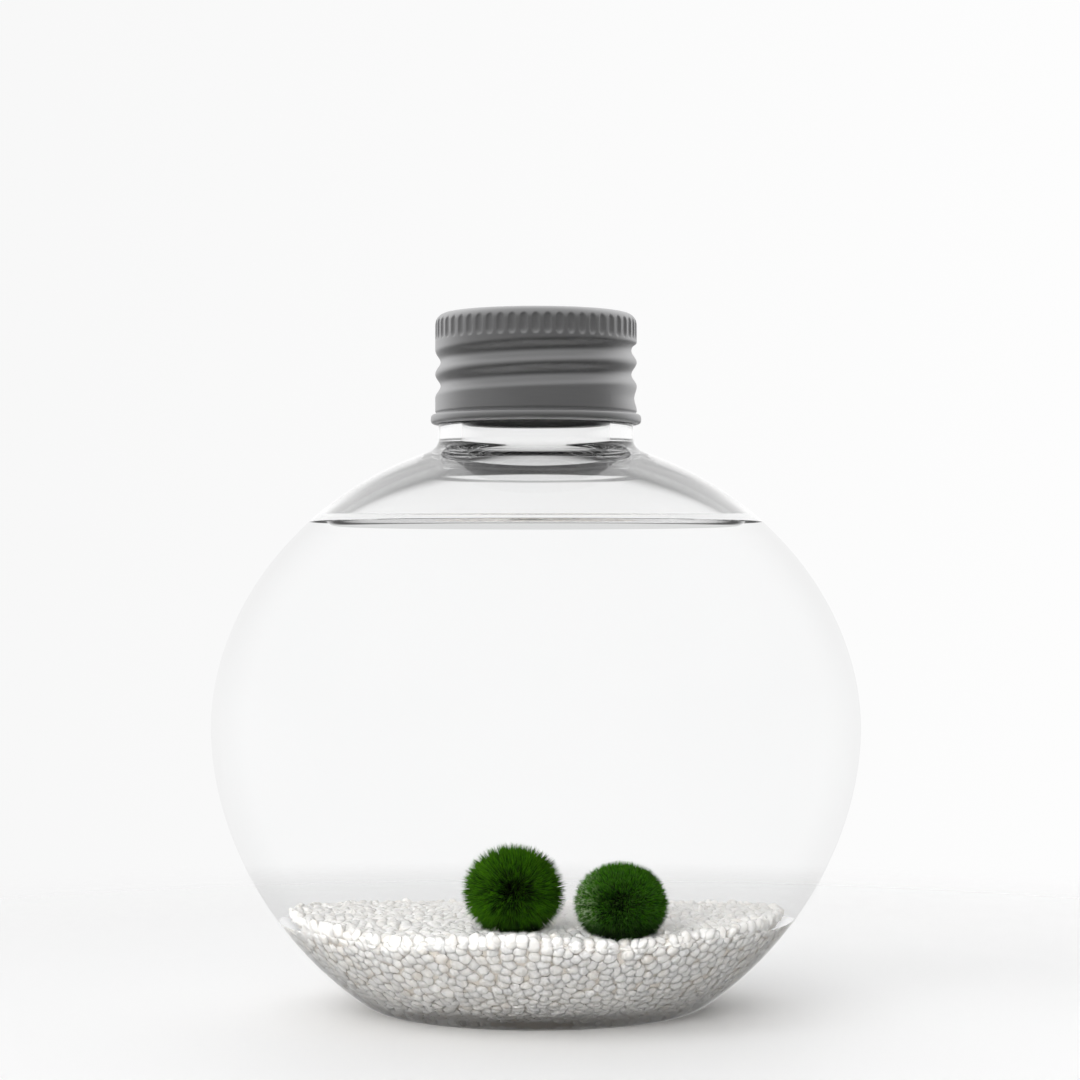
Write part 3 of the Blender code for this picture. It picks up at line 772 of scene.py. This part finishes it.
# %% Pour the gravel
gravel = {"grain_size": GRAIN_SIZE, "spacing": GRAIN_SPACING}
gravel |= {"lumpiness": GRAIN_LUMPS, "finish": stone}
side_grains = grow("gravel_against_glass", grain_tree, side_ground, lean=0.16, **gravel)
top_grains = grow("gravel_on_top", grain_tree, top_ground, lean=0.4, **gravel)
for piece in (gravel_core, side_grains, top_grains):
    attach(piece, "jar")
    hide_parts("gravel_bed")
for ground in (side_ground, top_ground):
    bpy.data.objects.remove(ground)

# %% [markdown]
# ## The moss balls
#
# A marimo is an alga whose threads grow out from the middle in every direction, so it looks like
# a ball of velvet. The left one is shaggy: its threads stand apart at the tips. The right one is
# clipped short, has lain on a flat side and carries specks of silt on its left. Each is a core
# with thousands of tapering threads on it. The core and the roots are painted near black and the
# tips green: painted shade deep among the threads and painted light through the tips, so the rim
# glows and the middle, seen end on, stays dark. Low on each ball the threads are painted dark all
# along: painted shade under the ball.


# %% Moss
def moss_material(name, root, tip, silt, left_side, dark_below):
    """Threads painted dark at the root and lighter at the tip: painted shade deep among the threads
    and painted light through the tips.

    silt is how much grey-green silt clings to them left of left_side. The threads that lie
    lower than dark_below are painted dark all along: painted shade under the ball.
    """
    made, tree, shader, place = new_material(name)
    along = tree.make("ShaderNodeAttribute", {"attribute_name": "along"}, output="Fac")
    tone = tree.make("ShaderNodeAttribute", {"attribute_name": "thread_tone"}, output="Fac")
    across = place.vector("DOT_PRODUCT", (1.0, 0.0, 0.0), output="Value")
    height = place.vector("DOT_PRODUCT", (0.0, 0.0, 1.0), output="Value")
    # Threads lower than this height are painted dark all along: painted shade under the ball.
    lit = height.spread(dark_below, dark_below + 3.0 * MM)
    # From the root colour to the tip colour: painted shade among the threads, painted light at the
    # tips.
    green = mixed(along, along**4.0 * lit, root, tip)
    green = mixed(green, tone**2.0, green, [0.2 * part for part in tip])
    silted = across.spread(left_side, left_side - 3.0 * MM) * height.spread(18.0 * MM, 20.0 * MM)
    specks = noise(place, 1300.0, 2.0).spread(0.48, 0.62) * (silted + 0.05) * silt
    set_inputs(
        shader,
        Base_Color=mixed(green, specks, green, (0.27, 0.35, 0.21)),
        Roughness=0.8,
        Specular_IOR_Level=0.05,
    )
    return made


# %% [markdown]
# The thread tree stands one thin cone on each scattered point, leans it along a soft random
# field so that neighbours gather into tufts, and keeps how far along the thread each point is.

# %% The thread tree
thread_inputs = [
    ("Thread Length", "Float"),
    ("Length Spread", "Float"),
    ("Thread Width", "Float"),
    ("Spacing", "Float"),
    ("Tuft Lean", "Float"),
    ("Stray Lean", "Float"),
    ("Finish", "Material"),
]
thread_tree, inputs = new_tree("grow_threads", thread_inputs)
points = scatter_points(inputs, 3)
cone = {"Vertices": 3, "Side Segments": 2, "Radius Top": 0.0, "Radius Bottom": 0.5, "Depth": 1.0}
thread = points.make("GeometryNodeMeshCone", {"fill_type": "NONE"}, cone, "Mesh")
up = thread.make("GeometryNodeInputPosition").vector("DOT_PRODUCT", (0, 0, 1), output="Value")
thread = store(thread, "along", up, "POINT")
where = points.make("GeometryNodeInputPosition")
tuft = noise(where, 1100.0, 1.0, output="Color").vector("SUBTRACT", (0.5, 0.5, 0.5))
stray = random_vector(points, (-1.0, -1.0, -1.0), (1.0, 1.0, 1.0), 5)
lean = tuft.scaled(inputs.output("Tuft Lean"))
lean = lean.vector("ADD", stray.scaled(inputs.output("Stray Lean")))
lean = lean.vector("ADD", points.output("Normal"))
turn = random_vector(points, (0.0, 0.0, 0.0), (0.0, 0.0, 6.28), 6)
turn = turn.make("FunctionNodeEulerToRotation", None, {"Euler": turn})
stand = {"Rotation": turn, "Vector": lean}
short = 1.0 - inputs.output("Length Spread") * random_number(points, 0.0, 1.0, 8)
width = inputs.output("Thread Width") * random_number(points, 0.5, 1.6, 10)
size = {"X": width, "Y": width, "Z": short * inputs.output("Thread Length")}
threads = {
    "Points": points,
    "Instance": thread,
    "Rotation": points.make("FunctionNodeAlignRotationToVector", {"axis": "Z"}, stand, "Rotation"),
    "Scale": points.make("ShaderNodeCombineXYZ", None, size),
}
threads = points.make("GeometryNodeInstanceOnPoints", None, threads)
threads = store(threads, "thread_tone", random_number(threads, 0.0, 1.0, 9), "INSTANCE")
threads = threads.make("GeometryNodeRealizeInstances", None, {"Geometry": threads})
end_tree(threads, inputs.output("Finish"))


# %% Grow the two balls
def ball_core(name, centre, half_width, half_height, flat_below):
    """A lumpy ball without threads, cut flat at some height below its middle."""
    tilt = np.linspace(0.0, math.pi, 50)[1:-1, None]
    angle = np.linspace(0.0, 2 * math.pi, 80, endpoint=False)[None, :]
    lump = 1 - 0.03 * (0.5 + 0.5 * np.sin(3 * angle + 4 * tilt)) * np.sin(tilt)
    radius = half_width * lump * np.sin(tilt)
    height = np.maximum(-half_height * lump * np.cos(tilt), -flat_below)
    core = ring_skin(name, radius, height, -min(half_height, flat_below), half_height)
    for vertex in core.data.vertices:
        vertex.co.x += centre[0]
        vertex.co.y += centre[1]
        vertex.co.z += centre[2]
    return core


LEFT_CENTRE = (-3.7 * MM, -30.0 * MM, 23.5 * MM)
RIGHT_CENTRE = (14.1 * MM, -34.0 * MM, 21.9 * MM)
# Near black: painted shade at the roots of the threads and on the core.
SHADED_ROOT_GREEN = (0.0005, 0.006, 0.0005)
shaggy = moss_material("shaggy moss", SHADED_ROOT_GREEN, (0.1, 0.33, 0.005), 0.0, 0.0, 16.5 * MM)
left_core = ball_core("left_moss_core", LEFT_CENTRE, 5.3 * MM, 4.5 * MM, 4.5 * MM)
left_core.data.materials.append(shaggy)
left_threads = grow(
    "left_moss_threads",
    thread_tree,
    left_core,
    thread_length=4.0 * MM,
    length_spread=0.3,
    thread_width=0.25 * MM,
    spacing=0.135 * MM,
    tuft_lean=0.8,
    stray_lean=0.1,
    finish=shaggy,
)
velvet = moss_material("clipped moss", SHADED_ROOT_GREEN, (0.1, 0.38, 0.006), 1.0, 10.5 * MM, 18.0 * MM)
right_core = ball_core("right_moss_core", RIGHT_CENTRE, 6.1 * MM, 5.1 * MM, 5.0 * MM)
right_core.data.materials.append(velvet)
right_threads = grow(
    "right_moss_threads",
    thread_tree,
    right_core,
    thread_length=2.35 * MM,
    length_spread=0.4,
    thread_width=0.22 * MM,
    spacing=0.14 * MM,
    tuft_lean=0.8,
    stray_lean=0.25,
    finish=velvet,
)
for piece in (left_core, left_threads):
    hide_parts("moss_ball_left")
for piece in (right_core, right_threads):
    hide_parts("moss_ball_right")
for piece in (left_core, left_threads, right_core, right_threads):
    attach(piece, "jar")

# %% [markdown]
# ## The screw cap
#
# The cap is drawn from aluminium sheet half a millimetre thick. A roller presses its side into
# the glass thread, so the groove outside is the thread inside, and a toothed wheel presses the
# row of short flutes under the crown. The lower edge is curled into a bead. Inside, the lowest
# part of the skirt is painted near black: painted shade, for the black band that shows through
# the neck just under the bead.

# %% Sizes of the cap
CAP_RADIUS = 17.85 * MM
CAP_SHEET = 0.5 * MM
CAP_TOP = 122.5 * MM
CAP_CORNER = 2.0 * MM
UPPER_INNER = 17.2 * MM
BEAD_RADIUS = 18.65 * MM
BEAD_LOW = 102.9 * MM
BEAD_HIGH = 104.6 * MM
GROOVE_DEPTH = 0.95 * MM
GROOVE_TURNS = 2.15
GROOVE_LOW = 105.1 * MM
GROOVE_HIGH = 117.3 * MM
FLUTES = 54
FLUTE_LOW = 117.7 * MM
FLUTE_HIGH = 121.3 * MM
FLUTE_DEPTH = 0.3 * MM
FLUTE_SHARE = 0.32
CAP_COLUMNS = 12 * FLUTES


def roll(radius, height, angle):
    """Sinks the rolled groove and the flutes into the cap's side."""
    ends = np.clip((height - GROOVE_LOW) / (0.5 * MM), 0, 1)
    ends = ends * np.clip((GROOVE_HIGH - height) / (0.5 * MM), 0, 1)
    groove = ends * thread_share(height, angle, GROOVE_START, GROOVE_TURNS)
    phase = FLUTES * angle / (2 * math.pi) - 0.5
    across = (phase - np.round(phase)) / FLUTE_SHARE
    middle = (FLUTE_LOW + FLUTE_HIGH) / 2
    along = (height - middle) / (FLUTE_HIGH - middle)
    flute = np.sqrt(np.clip(1 - across**2 - along**4, 0, 1))
    outer = radius > CAP_RADIUS - 0.8 * MM
    on_side = radius > CAP_RADIUS - 2.5 * CAP_SHEET
    return radius - GROOVE_DEPTH * groove * on_side - FLUTE_DEPTH * flute * outer, height


# %% Roll the cap
side_inner = CAP_RADIUS - CAP_SHEET
side_low = GROOVE_LOW - 0.1 * MM
crown_under = CAP_TOP - CAP_SHEET
bead_middle = (BEAD_LOW + BEAD_HIGH) / 2
cap_line = [(0.0, crown_under), (8.0 * MM, crown_under), (15.85 * MM, crown_under)]
cap_line += curve(cap_line[-1], (UPPER_INNER, crown_under), (UPPER_INNER, 120.9 * MM), 5)
cap_line += straight(cap_line[-1], (UPPER_INNER, 118.3 * MM), 2)
cap_line += curve(cap_line[-1], (UPPER_INNER, 117.6 * MM), (side_inner, GROOVE_HIGH), 3)
cap_line += straight(cap_line[-1], (side_inner, side_low), 40)
cap_line += straight(cap_line[-1], (side_inner, BEAD_LOW + 0.4 * MM), 3)
cap_line += curve(cap_line[-1], (side_inner, BEAD_LOW), (side_inner + 0.4 * MM, BEAD_LOW), 3)
cap_line += straight(cap_line[-1], (BEAD_RADIUS - 0.7 * MM, BEAD_LOW), 2)
cap_line += curve(cap_line[-1], (BEAD_RADIUS, BEAD_LOW), (BEAD_RADIUS, bead_middle), 6)
cap_line += curve(cap_line[-1], (BEAD_RADIUS, BEAD_HIGH), (BEAD_RADIUS - 0.6 * MM, BEAD_HIGH), 6)
tuck = (CAP_RADIUS - 0.2 * MM, BEAD_HIGH + 0.15 * MM)
cap_line += curve(cap_line[-1], (tuck[0], BEAD_HIGH), tuck, 4)
cap_line += curve(tuck, (tuck[0], side_low - 0.1 * MM), (CAP_RADIUS, side_low + 0.1 * MM), 4)
cap_line += straight(cap_line[-1], (CAP_RADIUS, GROOVE_HIGH), 60)
cap_line += straight(cap_line[-1], (CAP_RADIUS, CAP_TOP - CAP_CORNER), 16)
corner = CAP_RADIUS - CAP_CORNER
for step in range(1, 13):
    turned_by = step / 12 * math.pi / 2
    radius = corner + CAP_CORNER * math.cos(turned_by)
    cap_line.append((radius, CAP_TOP - CAP_CORNER + CAP_CORNER * math.sin(turned_by)))
cap_line += [(8.0 * MM, CAP_TOP), (0.0, CAP_TOP)]
cap = turned("rolled_cap", cap_line, CAP_COLUMNS, roll)
print(len(cap.data.polygons), "faces in the cap")

# %% Aluminium
metal, tree, shader, place = new_material("satin aluminium")
stretched = place.vector("MULTIPLY", (1.0, 1.0, 14.0))
grain = noise(stretched, 260.0, 3.0)
smudges = noise(place, 60.0, 2.0)
from_axis = place.vector("MULTIPLY", (1.0, 1.0, 0.0)).vector("LENGTH", output="Value")
height = place.vector("DOT_PRODUCT", (0.0, 0.0, 1.0), output="Value")
# The inside of the skirt below the groove is painted near black and not metal: painted shade under
# the bead.
outside_share = from_axis.spread(side_inner, side_inner + 0.1 * MM)
outside_share = outside_share.maths("MAXIMUM", height.spread(GROOVE_LOW, GROOVE_LOW + 0.1 * MM))
sheet = mixed(grain, grain, (0.51, 0.51, 0.515), (0.57, 0.57, 0.575))
set_inputs(
    shader,
    Base_Color=mixed(outside_share, outside_share, (0.012, 0.012, 0.012), sheet),
    Metallic=outside_share,
    Specular_IOR_Level=0.1,
    Roughness=(grain * 0.08 + smudges * 0.08) + 0.42,
    Normal=bump(grain, 0.02 * MM, 0.3),
)
cap.data.materials.append(metal)
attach(cap, "cap")
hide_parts("screw_cap")

# %% [markdown]
# ## The sealing disc
#
# A disc of soft foam lies under the crown and is squeezed onto the rim. It can only be seen once
# the cap is off its thread, so it is a plain dark disc.

# %% The disc
foam, tree, shader, place = new_material("dark foam")
cells = noise(place, 2600.0, 3.0)
set_inputs(
    shader,
    Base_Color=mixed(cells, cells, (0.022, 0.022, 0.023), (0.045, 0.045, 0.046)),
    Roughness=0.8,
    Normal=bump(cells, 0.05 * MM),
)
DISC_RADIUS = 16.5 * MM
DISC_LOW = 120.7 * MM
DISC_HIGH = 121.5 * MM
disc_line = [(0.0, DISC_LOW), (DISC_RADIUS - 0.15 * MM, DISC_LOW)]
disc_line += curve(disc_line[-1], (DISC_RADIUS, DISC_LOW), (DISC_RADIUS, DISC_LOW + 0.15 * MM), 3)
disc_line += [(DISC_RADIUS, DISC_HIGH - 0.15 * MM)]
disc_line += curve(disc_line[-1], (DISC_RADIUS, DISC_HIGH), (DISC_RADIUS - 0.15 * MM, DISC_HIGH), 3)
disc = turned("sealing_disc", [*disc_line, (0.0, DISC_HIGH)], 96)
disc.data.materials.append(foam)
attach(disc, "liner")
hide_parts("cap_liner")

# %% [markdown]
# ## The studio
#
# The jar stands on a pale surface that fades into a white background. A large round lamp high
# on the left throws the soft shadow to the right, and two more in front keep the gravel and the
# moss bright. The rest of the light comes from the room: a bright wall behind, and dimmer walls
# beside and in front. That darker front is what the middle of the cap mirrors, and it is what
# gives polished things their shape on a white ground.
#
# Light that has come through the glass finds a backdrop that is white low down and dark above.
# What the wall mirrors inside itself is darker to the sides, below and in front. Those two make
# the dark wedges of the shoulder and the bands in the neck.

# %% The surface it stands on
paper, tree, shader, place = new_material("white paper")
across = place.vector("MULTIPLY", (1.0, 1.0, 0.0)).vector("LENGTH", output="Value")
# The paper is painted a little darker towards the left: painted shade, for light that falls off to
# the left. The noise on top is the paper's own tone.
tone = place.vector("DOT_PRODUCT", (1.0, 0.0, 0.0), output="Value").spread(-0.09, 0.09)
tone = tone + noise(place, 500.0, 3.0) * 0.1
set_inputs(
    shader,
    Base_Color=mixed(tone, tone, (0.90, 0.90, 0.90), (0.97, 0.97, 0.97)),
    Roughness=0.6,
    Specular_IOR_Level=0.3,
    Alpha=across.spread(0.1, 0.27, 1.0, 0.0, smooth=True),
)
STUDIO_RADIUS = 330 * MM
STUDIO_DROP = 0.02 * MM
floor_rings = np.linspace(STUDIO_RADIUS, 10 * MM, 12)[:, None] * np.ones(96)
floor = ring_skin("studio_floor", floor_rings, floor_rings * 0.0 - STUDIO_DROP, last=-STUDIO_DROP)
floor.data.materials.append(paper)
floor.visible_glossy = False

# %% The light
WALL_BEHIND = 0.95
CEILING = 0.36
LEFT_WALL = 0.12
DIM_ROOM = 0.17
BACKDROP_WHITE = 0.91
BACKDROP_DARK = 0.06
PAPER_LEFT = 0.935
PAPER_RIGHT = 0.985

world = bpy.data.worlds.new("studio")
world.use_nodes = True
bpy.context.scene.world = world
sky = Wire(world.node_tree)
background = world.node_tree.nodes["Background"]
direction = sky.make("ShaderNodeTexCoord", output="Generated").vector("NORMALIZE")


def toward(side):
    """How closely a direction points to one side, from -1 to 1."""
    return direction.vector("DOT_PRODUCT", side, output="Value")


rightward = toward((1.0, 0.0, 0.0))
backward = toward((0.0, 1.0, 0.0))
upward = toward((0.0, 0.0, 1.0))
sideways = rightward.maths("ABSOLUTE")

behind = backward.spread(-0.1, 0.9, smooth=True)
above = upward.spread(0.1, 0.9, smooth=True)
left = rightward.spread(-0.2, -1.0, smooth=True)
upper = upward.spread(-0.4, 0.0, 0.2, 1.0, smooth=True)
room = (behind * WALL_BEHIND + above * CEILING + left * LEFT_WALL + DIM_ROOM) * upper

below_edge = upward.spread(0.17, 0.23, 1.0, 0.0, smooth=True)
beside = sideways.spread(0.7, 0.95, 1.0, 0.4, smooth=True)
backdrop = below_edge * beside * BACKDROP_WHITE + BACKDROP_DARK

low_wall = upward.spread(0.1, 0.3, 1.0, 0.33, smooth=True)
side_wall = sideways.spread(0.24, 0.5, 0.0, 0.55, smooth=True)
rear = backward.spread(-0.1, 0.3, 0.1, 1.0, smooth=True)
over_floor = upward.spread(-0.25, -0.05, 0.1, 1.0, smooth=True)
over_floor = over_floor * upward.spread(-0.012, 0.015, 0.72, 1.0)
mirrored = (low_wall + side_wall).maths("MINIMUM", 1.0) * rear * over_floor

from_camera = sky.make("ShaderNodeLightPath", output="Is Camera Ray")
within = from_camera.output("Transmission Depth").clamped()
within = within * (1.0 - from_camera.output("Diffuse Depth").clamped())
straight_through = within * (1.0 - from_camera.output("Glossy Depth").clamped())
paper_white = rightward.spread(-0.2, 0.2, PAPER_LEFT, PAPER_RIGHT)
seen = room + within * (mirrored - room)
seen = seen + straight_through * (backdrop - seen)
seen = seen + from_camera * (paper_white - seen)
connect(world.node_tree, background.inputs["Color"], (1.0, 1.0, 1.0))
connect(world.node_tree, background.inputs["Strength"], seen)


# %% The lamps
def lamp(name, place, size, power):
    """A round lamp that points to the jar and lights only matt things, in the glass or not."""
    data = bpy.data.lights.new(name, "AREA")
    data.shape = "DISK"
    data.size = size
    data.energy = power
    data.use_nodes = True
    tree = Wire(data.node_tree)
    glossy = tree.make("ShaderNodeLightPath", output="Glossy Depth")
    matt = glossy.output("Diffuse Depth").clamped()
    emission = data.node_tree.nodes["Emission"]
    connect(data.node_tree, emission.inputs["Strength"], 1.0 - glossy.clamped() * (1.0 - matt))
    made = bpy.data.objects.new(name, data)
    bpy.context.scene.collection.objects.link(made)
    made.location = place
    made.rotation_euler = made.location.to_track_quat("Z", "Y").to_euler()
    made.visible_camera = False
    made.visible_glossy = False


lamp("softbox", (-1.15, -0.75, 1.25), 1.3, 7.0)
lamp("front_fill", (-0.1, -1.7, 0.4), 1.8, 9.0)
lamp("low_fill", (-0.4, -1.0, 0.15), 0.9, 11.0)

# %% How the light is followed
render = bpy.context.scene
render.view_settings.view_transform = "Standard"
render.cycles.max_bounces = 40
render.cycles.diffuse_bounces = 6
render.cycles.glossy_bounces = 12
render.cycles.transmission_bounces = 32
render.cycles.transparent_max_bounces = 16
render.cycles.caustics_reflective = False
